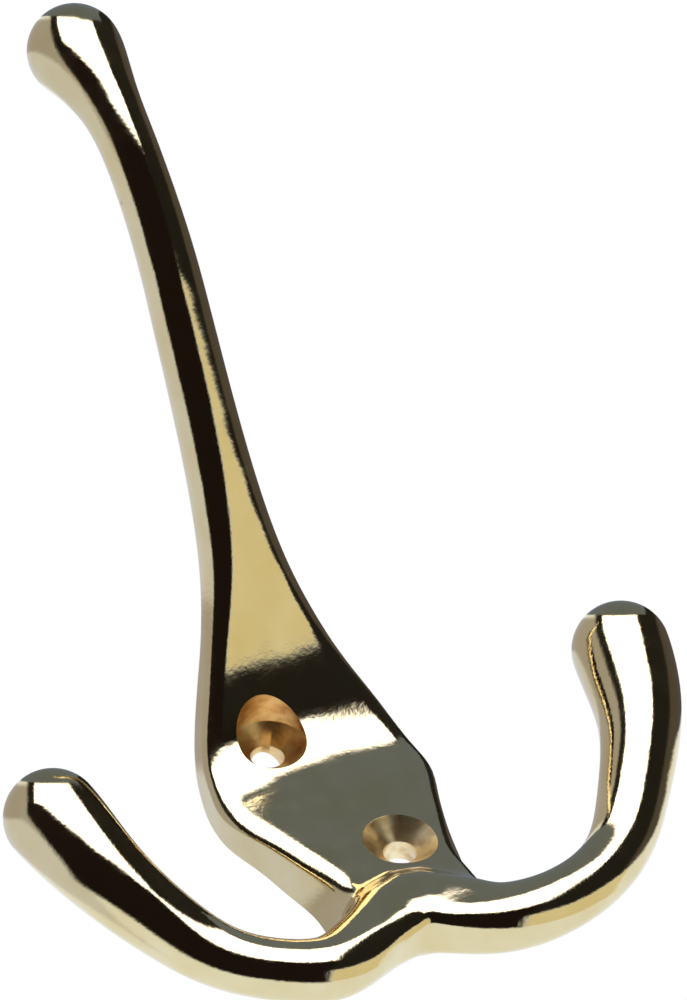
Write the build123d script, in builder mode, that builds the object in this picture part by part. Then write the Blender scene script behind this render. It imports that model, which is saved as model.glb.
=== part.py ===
from build123d import *
import os
from math import sqrt

os.makedirs("parts", exist_ok=True)

# Triple coat hook, cast in one piece. X runs to the right along the wall, Z up, and Y into the wall,
# so the hook reaches out along -Y. The origin is on the wall, midway between the two screw holes.
# All lengths are in millimetres and all angles in degrees.

# Back plate: its half outlines from top to foot, as (side, up), on the wall and at the front
plate_thickness = 5.5
plate_edge_radius = 1.3
back_outline = [(14.0, 6.0), (14.6, 1.0), (13.2, -6.0), (11.9, -12.0), (11.4, -17.5), (11.0, -22.0), (9.0, -28.0)]
front_outline = [(13.9, 6.0), (14.3, 1.0), (12.4, -5.0), (10.1, -11.0), (8.7, -17.0), (8.4, -22.0), (7.5, -28.0)]

round_handle = 4 / 3 * (sqrt(2) - 1)

# Top arm: its spine starts inside the plate, bends out, runs straight and curls up again in two arcs
spine_depth = 1.5
spine_start_height = -7.0
bend_start_height = 3.0
arm_lean = 53.7
root_bend_radius = 18.0
straight_length = 52.4
curl_lean = 35.8
first_curl_radius = 58.2
second_curl_radius = 29.4
arm_root_width = 27.6
arm_radius = 4.0
arm_neck_radius = 3.7
bulb_radius = 6.2

# Its sections: stretch of the spine, share along that stretch, half width, half thickness, handle
plate, root, straight, first_curl, second_curl = range(5)
arm_sections = [
    (plate, 0.0, 0.42 * arm_root_width, 3.6, 1.0),
    (plate, 1.0, 0.5 * arm_root_width, 4.05, 1.0),
    (root, 0.35, 0.515 * arm_root_width, 3.5, 0.96),
    (root, 0.7, 0.47 * arm_root_width, 2.8, 0.9),
    (straight, 0.0, 10.8, 2.7, 0.82),
    (straight, 0.13, 8.2, 3.0, 0.73),
    (straight, 0.28, 6.0, 3.4, 0.65),
    (straight, 0.5, 4.5, 3.85, 0.58),
    (straight, 0.8, arm_radius, arm_radius, round_handle),
    (first_curl, 0.4, 3.8, 3.8, round_handle),
    (second_curl, 0.05, arm_neck_radius, arm_neck_radius, round_handle),
    (second_curl, 0.45, 4.2, 4.2, round_handle),
    (second_curl, 0.75, 5.4, 5.4, round_handle),
    (second_curl, 1.0, bulb_radius, bulb_radius, round_handle),
]

# Lower arms: where the middle of one runs, as (side, out from the wall, up). The left one leaves the
# plate higher than the right one, each by the same step from the first of these points.
fork_point = (-1.2, 4.4, -24.9)
lower_arm_points = [
    (8.7, 4.4, -29.4),
    (17.0, 4.5, -30.6),
    (23.5, 5.0, -28.5),
    (28.7, 5.7, -24.5),
    (33.7, 8.0, -18.3),
    (37.9, 11.3, -11.5),
    (41.1, 14.6, 0.0),
]
root_step = 1.3
lower_tip_radius = 6.4

# Its sections: share of its length from the fork, half height, half depth
lower_arm_sections = [
    (0.15, 4.8, 4.2),
    (0.3, 4.8, 3.7),
    (0.45, 4.6, 3.5),
    (0.6, 4.5, 4.3),
    (0.75, 4.95, 5.25),
    (0.88, 5.9, 5.85),
    (1.0, lower_tip_radius, lower_tip_radius),
]
fork_section = (0.0, 3.7, 4.2)

# Screw holes
screw_side_offset = 3.28
screw_height_offset = 12.04
screw_hole_diameter = 4.4
countersink_diameter = 10.2
countersink_angle = 90.0


def draw_section(half_width, half_thickness, handle):
    """Closed outline in four quarters: arcs if it is round, else curves that a longer handle makes squarer."""
    for quarter in range(4):
        if half_width == half_thickness:
            CenterArc((0, 0), half_width, 90 * quarter, 90)
            continue
        ends = [(half_width, 0), (0, half_thickness), (-half_width, 0), (0, -half_thickness)]
        start = Vector(*ends[quarter])
        end = Vector(*ends[(quarter + 1) % 4])
        Bezier(start, start + end * handle, end + start * handle, end)


def mirrored(rows):
    """The same rows with the first number's sign turned, in the opposite order."""
    return [(-row[0], *row[1:]) for row in reversed(rows)]


def lower_route(side):
    """Points of one lower arm in the part's own X, Y and Z, from root to tip; side is 1 right and -1 left."""
    route = [(side * across, -out, up) for across, out, up in lower_arm_points]
    across, depth, up = route[0]
    return [(across, depth, up - side * root_step), *route[1:]]


# The plate, wider on the wall than at its front, with a rounded front edge
with BuildPart() as back_plate:
    for depth, outline in [(0, back_outline), (plate_thickness, front_outline)]:
        with BuildSketch(Plane.XZ.offset(depth)):
            with BuildLine():
                right_side = Spline(outline)
                left_side = Spline(mirrored(outline))
                Line(right_side @ 1, left_side @ 0)
                Line(left_side @ 1, right_side @ 0)
            make_face()
    loft(ruled=True)
    front_edges = back_plate.faces().sort_by(Axis.Y)[0].edges().sort_by(SortBy.LENGTH)[-2:]
    fillet(front_edges, plate_edge_radius)

# The spine runs up in the plate and out along the middle of the top arm
with BuildLine(Plane.YZ):
    plate_line = Line((-spine_depth, spine_start_height), (-spine_depth, bend_start_height))
    root_arc = JernArc(plate_line @ 1, plate_line % 1, root_bend_radius, arm_lean)
    straight_line = PolarLine(root_arc @ 1, straight_length, direction=root_arc % 1)
    first_arc = JernArc(straight_line @ 1, straight_line % 1, first_curl_radius, curl_lean - arm_lean)
    second_arc = JernArc(first_arc @ 1, first_arc % 1, second_curl_radius, -curl_lean)
spine = [plate_line, root_arc, straight_line, first_arc, second_arc]

with BuildPart() as top_arm:
    for stretch, share, half_width, half_thickness, handle in arm_sections:
        place = spine[stretch] @ share
        section_plane = Plane(place, x_dir=(1, 0, 0), z_dir=spine[stretch] % share)
        with BuildSketch(section_plane):
            with BuildLine():
                draw_section(half_width, half_thickness, handle)
            make_face()
    loft()
    with Locations(Plane(second_arc @ 1, x_dir=(1, 0, 0), z_dir=second_arc % 1)):
        Sphere(bulb_radius, arc_size1=0, align=(Align.CENTER, Align.CENTER, Align.MIN))
    split(bisect_by=Plane.XZ, keep=Keep.TOP)

# Both lower arms in one, from the left tip through the fork to the right tip
fork_side, fork_out, fork_up = fork_point
with BuildLine():
    lower_line = Spline([*reversed(lower_route(-1)), (fork_side, -fork_out, fork_up), *lower_route(1)])

all_sections = [*mirrored(lower_arm_sections), fork_section, *lower_arm_sections]
with BuildPart() as lower_arms:
    for share, half_height, half_depth in all_sections:
        position = 0.5 + 0.5 * share
        tangent = lower_line % position
        section_plane = Plane(lower_line @ position, x_dir=Vector(0, -1, 0).cross(tangent), z_dir=tangent)
        with BuildSketch(section_plane):
            with BuildLine():
                draw_section(half_height, half_depth, round_handle)
            make_face()
    loft()
    for end, direction in [(0, -1), (1, 1)]:
        with Locations(Plane(lower_line @ end, z_dir=(lower_line % end) * direction)):
            Sphere(lower_tip_radius, arc_size1=0, align=(Align.CENTER, Align.CENTER, Align.MIN))

with BuildPart() as hook_casting:
    add(back_plate.part)
    add(top_arm.part)
    add(lower_arms.part)
    for side in (-1, 1):
        screw_centre = (side * screw_side_offset, -plate_thickness, -side * screw_height_offset)
        with Locations(Plane(screw_centre, z_dir=(0, -1, 0))):
            CounterSinkHole(
                0.5 * screw_hole_diameter,
                0.5 * countersink_diameter,
                counter_sink_angle=countersink_angle,
            )

hook_casting.part.label = "hook_casting"
export_step(hook_casting.part, "parts/hook_casting.step")
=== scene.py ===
# %% [markdown]
# A triple coat hook, cast in brass and polished, as it looks on a white page.
# The hook is one piece of metal: a strap that starts as a flat plate on the wall, bends out into a long
# arm and ends in a bulb, and two shorter arms that leave the foot of the plate and curl up.
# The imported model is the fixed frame. It says where everything is, and this script gives it its looks.

# %% Load the frame
import math

import bmesh
import bpy
import numpy as np
from mathutils import Matrix, Vector


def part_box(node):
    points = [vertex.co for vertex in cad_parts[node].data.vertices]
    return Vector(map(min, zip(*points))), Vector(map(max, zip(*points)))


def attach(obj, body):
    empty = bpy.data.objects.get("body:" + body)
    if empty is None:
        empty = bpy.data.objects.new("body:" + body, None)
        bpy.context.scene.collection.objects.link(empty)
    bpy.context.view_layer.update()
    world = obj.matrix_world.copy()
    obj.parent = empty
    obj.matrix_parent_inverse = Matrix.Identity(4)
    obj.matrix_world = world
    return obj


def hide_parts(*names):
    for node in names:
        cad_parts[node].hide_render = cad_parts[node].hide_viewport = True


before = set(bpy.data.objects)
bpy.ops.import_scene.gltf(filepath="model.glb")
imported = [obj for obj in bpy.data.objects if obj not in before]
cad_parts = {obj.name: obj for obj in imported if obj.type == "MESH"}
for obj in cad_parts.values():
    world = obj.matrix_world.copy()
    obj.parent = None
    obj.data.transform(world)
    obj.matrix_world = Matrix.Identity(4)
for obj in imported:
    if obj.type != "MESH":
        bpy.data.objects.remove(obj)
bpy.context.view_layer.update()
casting_low, casting_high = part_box("hook_casting")
millimetre = 0.001
print("casting, mm:", [round(side / millimetre, 1) for side in casting_high - casting_low])

# %% [markdown]
# Smooth castings come from smooth numbers. Widths and routes are given at a few places only, and a cubic
# spline runs through them. The bend of each stretch is solved so that slope and curvature carry on
# from one stretch to the next, because polished metal shows every jump in either.


# %% A smooth curve through a few values
def smooth_curve(knots, values, level_ends=False):
    """Cubic spline: a weighted mean of the two nearest values, plus bends that keep the curvature joined."""
    knots = np.asarray(knots, float)
    rows = np.asarray(values, float).reshape(len(knots), -1)
    step = np.diff(knots)
    slope = np.diff(rows, axis=0) / step[:, None]
    inner = np.arange(1, len(knots) - 1)
    matrix = np.eye(len(knots))
    matrix[inner, inner - 1] = step[:-1]
    matrix[inner, inner] = 2 * (step[:-1] + step[1:])
    matrix[inner, inner + 1] = step[1:]
    right = np.zeros_like(rows)
    right[inner] = 6 * np.diff(slope, axis=0)
    if level_ends:
        matrix[0, :2] = 2 * step[0], step[0]
        matrix[-1, -2:] = step[-1], 2 * step[-1]
        right[0] = 6 * slope[0]
        right[-1] = -6 * slope[-1]
    bend = np.linalg.solve(matrix, right)

    def at(places):
        left = np.clip(np.searchsorted(knots, places) - 1, 0, len(step) - 1)
        width = step[left][:, None]
        before = (knots[left + 1] - places)[:, None] / width
        after = 1 - before
        mean = before * rows[left] + after * rows[left + 1]
        curve = (before**3 - before) * bend[left] + (after**3 - after) * bend[left + 1]
        return mean + width**2 / 6 * curve

    return at


# %% [markdown]
# A limb is a section carried along a path. The section is a rounded rectangle: with large corners it is a
# round arm, with small ones a flat plate, so one recipe holds for the whole strap. A flare widens it
# towards the wall, as the plate's sides are drafted to leave the mould, and a crown arches its front,
# because polishing takes more metal off near the edges.
#
# A limb is kept as its lengths and a table. A row of the table holds the middle, the directions along,
# across and through the limb, and the half width, half thickness, two corner radii, flare and crown.


# %% A section carried along a path
def unit(vectors):
    """Each row divided by its length."""
    return vectors / np.linalg.norm(vectors, axis=-1, keepdims=True)


def running_sum(steps):
    """Zero, then the sum of all steps so far."""
    return np.r_[0, np.cumsum(steps)]


def travelled(points):
    """How far along the path each point is: the running sum of the straight steps between them."""
    return running_sum(np.linalg.norm(np.diff(points, axis=0), axis=1))


def make_limb(middle, across, sizes):
    """Lengths along the path, and a row of frame and sizes at each of its evenly spaced points."""
    length = travelled(middle)
    along = unit(np.gradient(middle, length, axis=0))
    across = unit(across - (across * along).sum(1, keepdims=True) * along)
    return length, np.hstack([middle, along, across, np.cross(along, across), sizes])


def look_up(limb, place):
    """Rows of the limb's table at any place along it, straight between the two nearest rows."""
    length, table = limb
    spot = place / length[-1] * (len(length) - 1)
    low = np.clip(spot.astype(int), 0, len(length) - 2)
    share = (spot - low)[:, None]
    return table[low] * (1 - share) + table[low + 1] * share


# %% [markdown]
# The strap is the plate, the root and the top arm in one. Its path lies in the hook's middle plane and is
# given by its heading: straight up in the plate, turning out to 54 degrees, straight, and back up
# again in two gentler turns. Summing the headings gives the path. Lengths here and in the next
# cells are millimetres, and places are lengths along the path from the plate's foot.

# %% The strap
strap_depth = 1.5
strap_foot = -25.0
bulb_radius = 6.13
strap_rows = 545

# where the heading changes, and the heading there in degrees
turn_places = [0.0, 28.0, 37.74, 49.2, 97.09, 115.33, 133.66]
turn_headings = [0.0, 0.0, 36.0, 53.72, 53.72, 35.76, 0.0]

# place along the strap, half width, half thickness, corner width and depth, flare, crown
strap_sections = [
    (0.0, 8.0, 4.25, 2.0, 1.3, 0.42, 0.0045),
    (3.0, 8.3, 4.2, 2.0, 1.3, 0.52, 0.0045),
    (8.0, 8.3, 4.15, 2.2, 1.3, 0.54, 0.0045),
    (14.0, 10.1, 4.15, 2.6, 1.3, 0.39, 0.0045),
    (20.0, 12.4, 4.15, 3.2, 1.35, 0.17, 0.0045),
    (26.0, 14.5, 4.15, 3.6, 1.4, 0.05, 0.0045),
    (32.0, 14.25, 3.95, 3.0, 1.5, 0.02, 0.0035),
    (38.0, 13.1, 3.3, 2.3, 1.6, 0.0, 0.0015),
    (44.96, 10.6, 2.95, 2.2, 1.9, 0.0, 0.0),
    (51.7, 8.2, 2.8, 2.5, 2.2, 0.0, 0.0),
    (59.6, 6.0, 3.25, 3.0, 2.8, 0.0, 0.0),
    (71.1, 4.5, 3.8, 3.6, 3.5, 0.0, 0.0),
    (88.4, 3.97, 3.97, 3.97, 3.97, 0.0, 0.0),
    (104.7, 3.75, 3.75, 3.75, 3.75, 0.0, 0.0),
    (116.5, 3.7, 3.7, 3.7, 3.7, 0.0, 0.0),
    (123.8, 4.2, 4.2, 4.2, 4.2, 0.0, 0.0),
    (129.3, 5.4, 5.4, 5.4, 5.4, 0.0, 0.0),
    (133.66, bulb_radius, bulb_radius, bulb_radius, bulb_radius, 0.0, 0.0),
]


def make_strap():
    """Middle line: the running sum of sine and cosine of the heading, out of the wall and up."""
    place = np.linspace(0, turn_places[-1], strap_rows)
    heading = np.radians(np.interp(place, turn_places, turn_headings))
    steps = np.diff(place)
    out = strap_depth + running_sum(steps * (np.sin(heading[1:]) + np.sin(heading[:-1])) / 2)
    up = strap_foot + running_sum(steps * (np.cos(heading[1:]) + np.cos(heading[:-1])) / 2)
    sections = np.array(strap_sections)
    sizes = smooth_curve(sections[:, 0], sections[:, 1:], level_ends=True)(place)
    sizes[:, 2:4] = np.minimum(sizes[:, 2:4], sizes[:, 0:2])
    middle = np.c_[0 * place, -out, up]
    across = np.tile([1.0, 0.0, 0.0], (len(place), 1))
    return make_limb(middle, across, sizes)


strap = make_strap()
print("strap:", round(strap[0][-1], 1), "mm long")

# %% [markdown]
# The two lower arms follow a spline through a few points, given as side, out from the wall and up. They
# are close to mirror images, but the arms part a little left of the middle, and the first two points
# of each are lifted or lowered, so that the left one leaves the plate higher. Their sections are
# flattened at the fork and become ellipses, once the corners take up the whole section.

# %% The lower arms
fork_side, fork_out, fork_up = -1.1, 3.9, -24.9
arm_points = [
    (8.9, 4.2, -29.4),
    (17.06, 4.5, -30.54),
    (23.5, 5.0, -28.48),
    (28.7, 5.7, -24.52),
    (33.7, 8.0, -18.28),
    (37.9, 11.3, -11.51),
    (41.1, 14.6, 0.0),
]
root_lift = {"right": (-1.26, -0.17), "left": (1.85, -0.08)}
arm_rows = 400

# share of the arm's length, half height and depth, corner height and depth
arm_sections = [
    (0.0, 4.2, 3.6, 2.5, 1.7),
    (0.15, 4.45, 4.0, 3.6, 3.2),
    (0.3, 4.3, 4.15, 4.3, 4.15),
    (0.45, 4.1, 3.95, 4.1, 3.95),
    (0.6, 4.5, 4.4, 4.5, 4.4),
    (0.75, 5.05, 5.2, 5.05, 5.2),
    (0.88, 5.9, 5.88, 5.9, 5.88),
    (1.0, 6.37, 6.37, 6.37, 6.37),
]


def make_arm(name, side):
    """Spline through the arm's points, resampled so that its steps are equally long."""
    points = np.array(arm_points)
    points[:2, 2] += root_lift[name]
    points = points * [side, -1, 1]
    points = np.vstack([[fork_side, -fork_out, fork_up], points])
    knots = travelled(points)
    route = smooth_curve(knots, points)
    rough = np.linspace(0, knots[-1], 5 * arm_rows)
    length = travelled(route(rough))
    share = np.linspace(0, 1, arm_rows)
    middle = route(np.interp(share * length[-1], length, rough))
    sections = np.array(arm_sections)
    sizes = smooth_curve(sections[:, 0], sections[:, 1:], level_ends=True)(share)
    sizes[:, 2:] = np.minimum(sizes[:, 2:], sizes[:, :2])
    across = np.cross([0.0, -1.0, 0.0], np.gradient(middle, axis=0))
    return make_limb(middle, across, np.c_[sizes, 0 * share, 0 * share])


right_arm = make_arm("right", 1)
left_arm = make_arm("left", -1)
print("lower arms:", round(right_arm[0][-1], 1), "and", round(left_arm[0][-1], 1), "mm long")

# %% [markdown]
# Three tubes pushed into each other would meet in sharp seams, and a casting has none. So the limbs are
# not meshed one by one. Instead, a field says how far any point in space is from each limb, less than
# zero inside, and the three distances are blended where they are nearly equal, which fills the
# seams with the soft webs that the founder leaves there. The skin is where the field is zero.
#
# The nearest place of a limb's path is first sought among every sixth row of its table, block by block
# to save memory, and then slid along the path until the point lies square to it. There, the section's
# straight sides are taken away from the point's offset, and what is left is divided by the corner
# radii. The length of that is one on the skin, and the length less one, times the radius, is the
# distance.


# %% How far a point is from a limb
mark_step = 6
path_slides = 3
block_size = 40000
nearly_zero = 1e-6


def limb_distance(points, limb):
    """Distance to the rounded section at the nearest place of the path, to first order at its surface."""
    length, table = limb
    marks = table[::mark_step, :3].astype(np.float32)
    place = np.empty(len(points))
    for start in range(0, len(points), block_size):
        block = points[start:start + block_size].astype(np.float32)
        gap = (marks**2).sum(1) - 2 * block @ marks.T
        place[start:start + block_size] = length[::mark_step][gap.argmin(1)]
    for _ in range(path_slides):
        row = look_up(limb, place)
        reach = place + ((points - row[:, :3]) * row[:, 3:6]).sum(1)
        place = np.clip(reach, 0, length[-1])
    row = look_up(limb, place)
    offset = points - row[:, :3]
    reach = place + (offset * row[:, 3:6]).sum(1)
    past_end = np.maximum(-reach, reach - length[-1])
    sideways = (offset * row[:, 6:9]).sum(1)
    through = (offset * row[:, 9:12]).sum(1)
    width, thickness, corner, corner_depth, flare, crown = row[:, 12:].T
    thickness = thickness - crown * sideways**2
    sideways = np.abs(sideways) - flare * (through + thickness)
    beyond = np.stack([sideways - width + corner, np.abs(through) - thickness + corner_depth, past_end])
    radii = np.stack([corner, corner_depth, corner_depth])
    outer = np.maximum(beyond, 0)
    stretch = np.sqrt(((outer / radii) ** 2).sum(0))
    steepness = np.sqrt(((outer / radii**2) ** 2).sum(0))
    rounded = stretch / np.maximum(steepness, nearly_zero)
    radius = np.where(steepness > nearly_zero, rounded, corner_depth)
    return np.minimum(beyond.max(0), 0) + (stretch - 1) * radius


# %% The blended field
# how far the web at the plate and the crease between the arms reach
web = 5.0
crease = 1.0


def blended(first, second, reach):
    """The smaller distance, lowered by up to a quarter of the reach where the two are nearly equal."""
    overlap = np.maximum(reach - np.abs(first - second), 0) / reach
    return np.minimum(first, second) - overlap**2 * reach / 4


def casting_field(points):
    """Distance to the whole hook: the arms blended with a tight crease, the strap with a wider web."""
    arms = blended(limb_distance(points, right_arm), limb_distance(points, left_arm), crease)
    return blended(limb_distance(points, strap), arms, web)


print("field at the origin:", round(float(casting_field(np.zeros((1, 3)))[0]), 2), "mm")

# %% [markdown]
# To find the skin, space is cut into small cubes. A cube with corners on both sides of the skin gets one
# point, and four cubes round an edge that the skin crosses share one square face. The points start in
# the middle of their cubes. Then they are evened out and slid down the field's slope onto the
# skin, a few times over, so that the reflections run as smoothly as the field does.


# %% Which grid corners are inside the metal
coarseness = 4
near_skin = 7.2


def inside_metal(low, high, pitch):
    """True where the field is below zero, worked out one by one only where a coarse grid is near the skin."""
    blocks = np.ceil((high - low) / (coarseness * pitch)).astype(int)
    shape = blocks * coarseness + 1
    coarse = low + coarseness * pitch * np.moveaxis(np.indices(blocks + 1), 0, -1).reshape(-1, 3)
    value = casting_field(coarse).reshape(blocks + 1)

    def fine(array):
        for axis in range(3):
            array = np.repeat(array, coarseness, axis)
        x, y, z = [slice(coarseness // 2, coarseness // 2 + size) for size in shape]
        return array[x, y, z].copy()

    inside = fine(value < 0)
    spots = np.argwhere(fine(np.abs(value) < near_skin * pitch))
    inside[tuple(spots.T)] = casting_field(low + spots * pitch) < 0
    return inside


# %% One point per crossed cube
def square_faces(inside):
    """Cubes with corners on both sides, and a face of four cubes round each crossed edge, turned outwards."""
    x, y, z = inside.shape
    ends = (0, 1)
    corners = [inside[i:x - 1 + i, j:y - 1 + j, k:z - 1 + k] for i in ends for j in ends for k in ends]
    count = sum(corner.astype(np.int8) for corner in corners)
    crossed = (count > 0) & (count < 8)
    number = np.full(crossed.shape, -1)
    number[crossed] = np.arange(crossed.sum())
    faces = []
    for axis in range(3):
        order = [axis, (axis + 1) % 3, (axis + 2) % 3]
        here = inside.transpose(order)
        cube = number.transpose(order)
        near, far = here[:-1, 1:-1, 1:-1], here[1:, 1:-1, 1:-1]
        for crossing, turn in ((near & ~far, 1), (far & ~near, -1)):
            a, b, c = np.nonzero(crossing)
            ring = [cube[a, b, c], cube[a, b + 1, c], cube[a, b + 1, c + 1], cube[a, b, c + 1]]
            faces.append(np.stack(ring[::turn], 1))
    return np.argwhere(crossed), np.concatenate(faces)


# %% Sliding the points onto the skin
grid_margin_low = [2.1, 2.2, 2.3]
grid_margin_high = [2.1, 3.0, 2.3]
nudge = 0.02
least_steepness = 0.05
first_slides = 3
slides_per_round = 2


def slide_to_skin(points):
    """A Newton step: the field's value divided by its squared slope, along the slope."""
    value = casting_field(points)
    ahead = np.stack([casting_field(points + shift) for shift in nudge * np.eye(3)], 1)
    slope = (ahead - value[:, None]) / nudge
    steep = np.maximum((slope**2).sum(1), least_steepness)
    return points - np.clip(value / steep, -1, 1)[:, None] * slope


def skin_mesh(pitch, rounds):
    """Points and faces of the skin in millimetres, from a grid a little larger than the casting's box."""
    low = np.array(casting_low) / millimetre - grid_margin_low
    high = np.array(casting_high) / millimetre + grid_margin_high
    cubes, faces = square_faces(inside_metal(low, high, pitch))
    points = low + (cubes + 0.5) * pitch
    start = faces.ravel()
    end = np.roll(faces, -1, axis=1).ravel()
    neighbours = np.bincount(start, minlength=len(points))[:, None]
    for _ in range(first_slides):
        points = slide_to_skin(points)
    for _ in range(rounds):
        totals = [np.bincount(start, points[end, axis], len(points)) for axis in range(3)]
        points = np.stack(totals, 1) / neighbours
        for _ in range(slides_per_round):
            points = slide_to_skin(points)
    return points, faces


pitch = 0.45
skin_points, skin_faces = skin_mesh(pitch, rounds=3)
print("skin:", len(skin_points), "points,", len(skin_faces), "faces")

# %% [markdown]
# The back of the plate is ground flat, so the skin is cut at the wall and closed there with a flat face.
# Blender's bmesh does that in two steps: bisect drops what lies behind the wall, and the open rim
# is filled.


# %% The casting with its flat back
def make_casting(points, faces):
    """A mesh object of the skin, in metres, cut off at the wall and closed."""
    mesh = bpy.data.meshes.new("brass_hook")
    mesh.from_pydata((points * millimetre).tolist(), [], faces.tolist())
    shell = bmesh.new()
    shell.from_mesh(mesh)
    cut = bmesh.ops.bisect_plane(
        shell,
        geom=shell.verts[:] + shell.edges[:] + shell.faces[:],
        dist=1e-6,
        plane_co=(0, 0, 0),
        plane_no=(0, 1, 0),
        clear_outer=True,
    )
    rim = [item for item in cut["geom_cut"] if isinstance(item, bmesh.types.BMEdge)]
    back = bmesh.ops.edgenet_fill(shell, edges=rim)["faces"]
    bmesh.ops.triangulate(shell, faces=back)
    bmesh.ops.recalc_face_normals(shell, faces=shell.faces[:])
    shell.to_mesh(mesh)
    shell.free()
    casting = bpy.data.objects.new("brass_hook", mesh)
    bpy.context.collection.objects.link(casting)
    return casting


casting = make_casting(skin_points, skin_faces)
print("casting:", len(casting.data.polygons), "faces after the cut")

# %% [markdown]
# Two finishes meet on the hook. The outside is polished and lacquered. The screw holes were drilled and
# countersunk after polishing, so their walls are rougher. Their orange-brown and cream colour is partly
# painted reflection, standing in for light bouncing round inside the countersink, most of all in the upper
# one.
#
# Polished brass is a mirror first: its colour only tints what it reflects. A little roughness, a slow
# waviness left by the polishing mop and fine pits from the casting keep it from looking like chrome.
# A noise's scale is how many blotches fit on a metre, and a bump's distance is how high it stands.


# %% Small helpers for the materials
def new_material(name):
    """An empty node material: its nodes and links, and its shader."""
    material = bpy.data.materials.new(name)
    material.use_nodes = True
    nodes, links = material.node_tree.nodes, material.node_tree.links
    return material, nodes, links, nodes["Principled BSDF"]


def noise(nodes, links, scale, detail):
    """Noise on object coordinates, so the pattern sits still in the metal."""
    place = nodes.new("ShaderNodeTexCoord")
    texture = nodes.new("ShaderNodeTexNoise")
    texture.inputs["Scale"].default_value = scale
    texture.inputs["Detail"].default_value = detail
    links.new(place.outputs["Object"], texture.inputs["Vector"])
    return texture.outputs["Fac"]


def ramp(nodes, links, value, stops):
    """Colours at places from 0 to 1, smooth between them."""
    node = nodes.new("ShaderNodeValToRGB")
    while len(node.color_ramp.elements) < len(stops):
        node.color_ramp.elements.new(0.5)
    for element, (place, colour) in zip(node.color_ramp.elements, stops):
        element.position = place
        element.color = (*colour, 1)
    links.new(value, node.inputs["Fac"])
    return node.outputs["Color"]


def bump(nodes, links, height, distance, before=None):
    """Turns a height into a bend of the normal, on top of an earlier one."""
    node = nodes.new("ShaderNodeBump")
    node.inputs["Strength"].default_value = 1.0
    node.inputs["Distance"].default_value = distance
    links.new(height, node.inputs["Height"])
    if before:
        links.new(before, node.inputs["Normal"])
    return node.outputs["Normal"]


# %% Polished brass
def make_polished_brass():
    """Metal with a mirror finish: colour drifts a little, and pits and waves bend the reflections."""
    material, nodes, links, shader = new_material("polished_brass")
    shader.inputs["Metallic"].default_value = 1.0
    drift = noise(nodes, links, scale=160, detail=3)
    colour = ramp(nodes, links, drift, [(0.3, (0.66, 0.53, 0.27)), (0.7, (0.70, 0.59, 0.34))])
    links.new(colour, shader.inputs["Base Color"])
    haze = noise(nodes, links, scale=420, detail=4)
    polish = ramp(nodes, links, haze, [(0.35, (0.05, 0.05, 0.05)), (0.75, (0.13, 0.13, 0.13))])
    links.new(polish, shader.inputs["Roughness"])
    slow = noise(nodes, links, scale=110, detail=1)
    waves = bump(nodes, links, slow, distance=0.22 * millimetre)
    fine = noise(nodes, links, scale=1500, detail=4)
    pits = bump(nodes, links, fine, distance=0.014 * millimetre, before=waves)
    links.new(pits, shader.inputs["Normal"])
    return material


polished_brass = make_polished_brass()
print("material:", polished_brass.name)


# %% Drilled brass, its colour partly painted reflection
def make_drilled_brass_with_painted_bounce(name, stops, roughness):
    """Metal of a countersink's wall: turned brass in random blotches, coloured partly with painted reflection
    of light bouncing in the hole.
    """
    material, nodes, links, shader = new_material(name)
    shader.inputs["Metallic"].default_value = 1.0
    shader.inputs["Roughness"].default_value = roughness
    blotches = noise(nodes, links, scale=520, detail=4)
    links.new(ramp(nodes, links, blotches, stops), shader.inputs["Base Color"])
    marks = noise(nodes, links, scale=1800, detail=3)
    links.new(bump(nodes, links, marks, distance=0.02 * millimetre), shader.inputs["Normal"])
    return material


# colours of the countersink walls: brass, with painted reflection in the orange and cream that stands in for
# light bouncing inside the hole
upper_wall_colours_with_painted_bounce = [(0.3, (0.62, 0.34, 0.14)), (0.5, (0.86, 0.60, 0.26)), (0.72, (0.95, 0.80, 0.44))]
lower_wall_colours_with_painted_bounce = [(0.3, (0.66, 0.46, 0.24)), (0.5, (0.90, 0.72, 0.40)), (0.72, (0.96, 0.86, 0.60))]
upper_brass = make_drilled_brass_with_painted_bounce("upper_drilled_brass_painted_bounce", upper_wall_colours_with_painted_bounce, roughness=0.4)
lower_brass = make_drilled_brass_with_painted_bounce("lower_drilled_brass_painted_bounce", lower_wall_colours_with_painted_bounce, roughness=0.34)
print("materials:", upper_brass.name, lower_brass.name)

# %% [markdown]
# Each screw hole is cut with a solid of revolution: a straight shank, a 90-degree cone and a small rounded
# lip that runs out level with the plate, as a countersink leaves it once the plate has been buffed.
# The cones lean a little to the lower left, as if sunk by eye. Both cutters reach far out, because the
# top arm's root stands before the upper hole, and the upper one narrows on the way out.
#
# A Boolean modifier takes the cutter away from the casting and gives the new walls its material.

# %% The cutter's shape
screw_side = 3.28
screw_up = 12.04
hole_radius = 2.2
plate_front = 5.5
lip_radius = 0.45
lip_start, lip_end, lip_steps = 45, 84, 6
cone_slant = 0.70711  # sine and cosine of the cone's 45 degrees
reach_out = 12.0
reach_back = -9.0
points_round = 96


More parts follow.
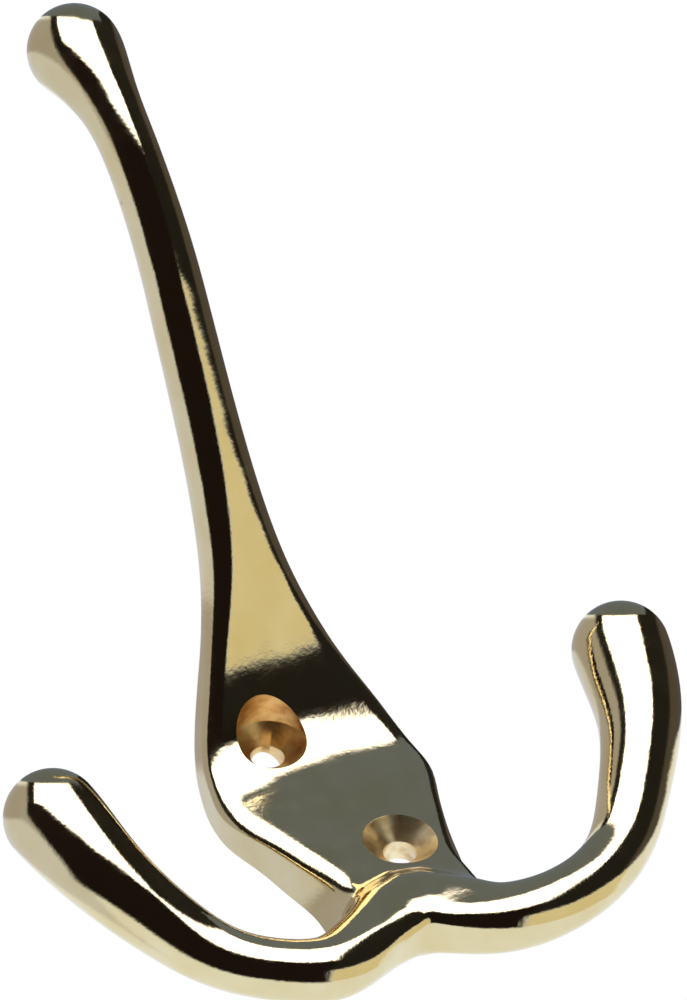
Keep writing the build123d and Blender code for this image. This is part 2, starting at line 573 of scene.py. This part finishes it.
def make_cutter(name, side, up, countersink_radius, taper, lean, wall):
    """One ring per profile point: its centre plus its radius times the cosine and sine of the turn."""
    lip = np.radians(np.linspace(lip_start, lip_end, lip_steps))
    lip_width = countersink_radius + lip_radius * (np.sin(lip) - cone_slant)
    rim = np.c_[lip_width, lip_radius * (cone_slant - np.cos(lip))]
    cone_depth = countersink_radius - hole_radius
    front = [rim[-1, 0] - taper * reach_out, reach_out]
    profile = np.vstack([[hole_radius, reach_back], [hole_radius, -cone_depth], rim, front])
    turn = np.linspace(0, 2 * np.pi, points_round, endpoint=False)
    radius, out = profile.T
    shift = np.clip(out + cone_depth, 0, cone_depth)[:, None] * lean
    rings = np.stack(
        [
            side + shift[:, :1] + radius[:, None] * np.cos(turn),
            np.repeat(-(plate_front + out)[:, None], len(turn), 1),
            up + shift[:, 1:] + radius[:, None] * np.sin(turn),
        ],
        -1,
    )
    index = np.arange(rings[..., 0].size).reshape(rings.shape[:2])
    ahead = np.roll(index, -1, axis=1)
    walls = np.stack([index[:-1], ahead[:-1], ahead[1:], index[1:]], -1).reshape(-1, 4)
    faces = walls.tolist() + [index[0].tolist(), index[-1][::-1].tolist()]
    mesh = bpy.data.meshes.new(name)
    mesh.from_pydata((rings.reshape(-1, 3) * millimetre).tolist(), [], faces)
    mesh.materials.append(wall)
    solid = bmesh.new()
    solid.from_mesh(mesh)
    bmesh.ops.recalc_face_normals(solid, faces=solid.faces[:])
    solid.to_mesh(mesh)
    solid.free()
    cutter = bpy.data.objects.new(name, mesh)
    bpy.context.collection.objects.link(cutter)
    return cutter


# %% Drill the two holes
def drill(piece, cutters):
    """Takes the cutters away from the piece and keeps the result as its mesh."""
    for cutter in cutters:
        modifier = piece.modifiers.new("drill", "BOOLEAN")
        modifier.operation = "DIFFERENCE"
        modifier.solver = "EXACT"
        modifier.material_mode = "TRANSFER"
        modifier.object = cutter
    bpy.context.view_layer.update()
    shape = piece.evaluated_get(bpy.context.evaluated_depsgraph_get())
    mesh = bpy.data.meshes.new_from_object(shape)
    piece.modifiers.clear()
    piece.data = mesh
    for cutter in cutters:
        bpy.data.objects.remove(cutter)


sharp_from = math.radians(32)
casting.data.materials.append(polished_brass)
cutters = [
    make_cutter(
        "upper_left",
        -screw_side,
        screw_up,
        countersink_radius=4.85,
        taper=0.2,
        lean=(-0.15, -0.35),
        wall=upper_brass,
    ),
    make_cutter(
        "lower_right",
        screw_side,
        -screw_up,
        countersink_radius=4.9,
        taper=0.0,
        lean=(-0.12, -0.2),
        wall=lower_brass,
    ),
]
drill(casting, cutters)
casting.data.shade_smooth()
casting.data.set_sharp_from_angle(angle=sharp_from)
print("casting:", len(casting.data.polygons), "faces, materials", [m.name for m in casting.data.materials])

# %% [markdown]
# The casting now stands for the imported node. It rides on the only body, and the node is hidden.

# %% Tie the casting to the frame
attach(casting, "root")
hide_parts("hook_casting")
print("brass_hook stands for hook_casting")

# %% [markdown]
# The camera looks up at the hook from below and from the left, from a few metres away, so that the near
# and far arms keep their sizes. Turn and rise say where it stands, seen from the point in its sight,
# roll tilts the picture, and the lens follows from the distance and the height of the picture.

# %% Camera
camera_turn = math.radians(-31.94)
camera_rise = math.radians(-42.54)
camera_roll = math.radians(-39.13)
camera_distance = 3.8
picture_height = 128.1 * millimetre
sight = Vector((10.54, -34.36, 20.59)) * millimetre

towards = Vector(
    (
        math.cos(camera_rise) * math.sin(camera_turn),
        -math.cos(camera_rise) * math.cos(camera_turn),
        math.sin(camera_rise),
    )
)
level = Vector((0, 0, 1)).cross(towards).normalized()
camera_right = Matrix.Rotation(camera_roll, 3, towards) @ level
camera_up = towards.cross(camera_right)
camera_data = bpy.data.cameras.new("camera")
camera_data.sensor_width = 36
camera_data.lens = camera_data.sensor_width * camera_distance / picture_height
camera = bpy.data.objects.new("camera", camera_data)
axes = Matrix((camera_right, camera_up, towards)).transposed()
camera.matrix_world = Matrix.Translation(sight + towards * camera_distance) @ axes.to_4x4()
bpy.context.collection.objects.link(camera)
bpy.context.scene.camera = camera
print("camera right", [round(v, 3) for v in camera_right], "up", [round(v, 3) for v in camera_up])

# %% [markdown]
# A plain pale floor lies just below the hook and takes its shadow. The camera looks up from below the
# floor, so the floor's underside is made see-through: a node tells the two sides apart. Mirrors do not
# show the floor either, because the studio below has a pale table of its own.


# %% Floor
def make_floor(height, half_side):
    """A square at the given height, white on top and clear from below."""
    mesh = bpy.data.meshes.new("floor")
    corners = [(x * half_side, y * half_side, height) for x, y in ((-1, -1), (1, -1), (1, 1), (-1, 1))]
    mesh.from_pydata(corners, [], [(0, 1, 2, 3)])
    material, nodes, links, shader = new_material("pale_floor")
    shader.inputs["Base Color"].default_value = (0.96, 0.96, 0.96, 1)
    shader.inputs["Roughness"].default_value = 0.9
    shader.inputs["Specular IOR Level"].default_value = 0.0
    clear = nodes.new("ShaderNodeBsdfTransparent")
    sides = nodes.new("ShaderNodeNewGeometry")
    choose = nodes.new("ShaderNodeMixShader")
    links.new(sides.outputs["Backfacing"], choose.inputs["Fac"])
    links.new(shader.outputs["BSDF"], choose.inputs[1])
    links.new(clear.outputs["BSDF"], choose.inputs[2])
    links.new(choose.outputs["Shader"], nodes["Material Output"].inputs["Surface"])
    mesh.materials.append(material)
    floor = bpy.data.objects.new("floor", mesh)
    floor.visible_glossy = False
    bpy.context.collection.objects.link(floor)
    return floor


floor_gap = 0.5 * millimetre
floor = make_floor(height=casting_low[2] - floor_gap, half_side=1.5)
print("floor at", round(floor.data.vertices[0].co.z / millimetre, 1), "mm")

# %% [markdown]
# Polished metal shows the room more than itself, so the studio is the second half of the finish. The
# room is written into the world as a pale table all round with a few cards before it: a wide soft box
# above the camera, the dark room round the camera, a dim ceiling, and walls to the left and right.
#
# Every direction is first laid flat on a disc round the camera's own direction: the middle is straight
# back to the camera, 0.71 out is a quarter turn away, and the rim at 1 is straight behind the hook. A
# card is then a soft-edged rectangle on that disc. The directions are fixed in the room, so the hook
# shows the same studio from every side. Only glossy rays see the cards. All else sees plain white.

# %% Directions laid on a disc
world = bpy.data.worlds.new("studio")
bpy.context.scene.world = world
world.use_nodes = True
studio_nodes, studio_links = world.node_tree.nodes, world.node_tree.links


def maths(operation, first, second=None):
    """The result of one maths node of the studio, fed by sockets or plain numbers."""
    node = studio_nodes.new("ShaderNodeMath")
    node.operation = operation
    for socket, value in zip(node.inputs, (first, second)):
        if isinstance(value, bpy.types.NodeSocket):
            studio_links.new(value, socket)
        elif value is not None:
            socket.default_value = value
    return node.outputs[0]


def along(direction):
    """How far a ray points in one fixed direction: the dot product of the two, from -1 to 1."""
    node = studio_nodes.new("ShaderNodeVectorMath")
    node.operation = "DOT_PRODUCT"
    studio_links.new(ray, node.inputs[0])
    node.inputs[1].default_value = direction
    return node.outputs["Value"]


ray = studio_nodes.new("ShaderNodeTexCoord").outputs["Generated"]
just_over_one = 1.0001
spread = maths("SQRT", maths("MULTIPLY", maths("ADD", along(towards), just_over_one), 2.0))
disc_x = maths("DIVIDE", along(camera_right), spread)
disc_y = maths("DIVIDE", along(camera_up), spread)
print("studio: directions laid on a disc")


# %% The studio's cards
def past_edges(place, low, high):
    """How far outside a stretch of the disc a ray falls: distance from its middle, less half its length."""
    off_middle = maths("ABSOLUTE", maths("SUBTRACT", place, (low + high) / 2))
    return maths("SUBTRACT", off_middle, (high - low) / 2)


def card(below, colour, left, right, bottom, top, soft):
    """The colour over what is below, inside a rectangle of the disc whose edges fade over the soft width."""
    outside = maths("MAXIMUM", past_edges(disc_x, left, right), past_edges(disc_y, bottom, top))
    edge = studio_nodes.new("ShaderNodeMapRange")
    edge.interpolation_type = "SMOOTHSTEP"
    edge.inputs["From Min"].default_value = soft
    edge.inputs["From Max"].default_value = -soft
    studio_links.new(outside, edge.inputs["Value"])
    mix = studio_nodes.new("ShaderNodeMix")
    mix.data_type = "RGBA"
    studio_links.new(edge.outputs["Result"], mix.inputs["Factor"])
    if isinstance(below, bpy.types.NodeSocket):
        studio_links.new(below, mix.inputs["A"])
    else:
        mix.inputs["A"].default_value = (*below, 1)
    mix.inputs["B"].default_value = (*colour, 1)
    return mix.outputs["Result"]


# colour, left, right, bottom, top, soft width; a later card covers the earlier ones
studio_cards = {
    "shaded table": ((0.80, 0.86, 1.06), -1.1, -0.42, -0.60, 0.05, 0.05),
    "grey left wall": ((0.50, 0.50, 0.56), -1.1, -0.45, -0.02, 0.66, 0.05),
    "dim right wall": ((0.10, 0.09, 0.09), -0.5, 1.1, 0.05, 1.1, 0.04),
    "dark upper room": ((0.02, 0.02, 0.02), -0.5, 0.72, 0.05, 1.1, 0.04),
    "warm pale screen": ((0.92, 0.88, 0.68), 0.33, 0.76, -0.30, 0.035, 0.015),
    "dim ceiling": ((0.17, 0.21, 0.28), -0.9, 0.5, 0.715, 1.1, 0.012),
    "dark room round the camera": ((0.014, 0.010, 0.010), -0.50, 0.31, -0.32, 0.31, 0.04),
    "soft box": ((3.0, 3.1, 3.9), -0.36, 0.31, 0.32, 0.70, 0.02),
}
pale_table = (1.05, 1.15, 1.35)
room = pale_table
for values in studio_cards.values():
    room = card(room, *values)
print("studio:", ", ".join(studio_cards))

# %% Who sees the studio
rays = studio_nodes.new("ShaderNodeLightPath")
choice = studio_nodes.new("ShaderNodeMix")
choice.data_type = "RGBA"
choice.inputs["A"].default_value = (1, 1, 1, 1)
studio_links.new(rays.outputs["Is Glossy Ray"], choice.inputs["Factor"])
studio_links.new(room, choice.inputs["B"])
background = studio_nodes["Background"]
background.inputs["Strength"].default_value = 1.0
studio_links.new(choice.outputs["Result"], background.inputs["Color"])
bpy.context.scene.view_settings.view_transform = "Standard"
print("world: white to the camera, the studio to glossy rays")
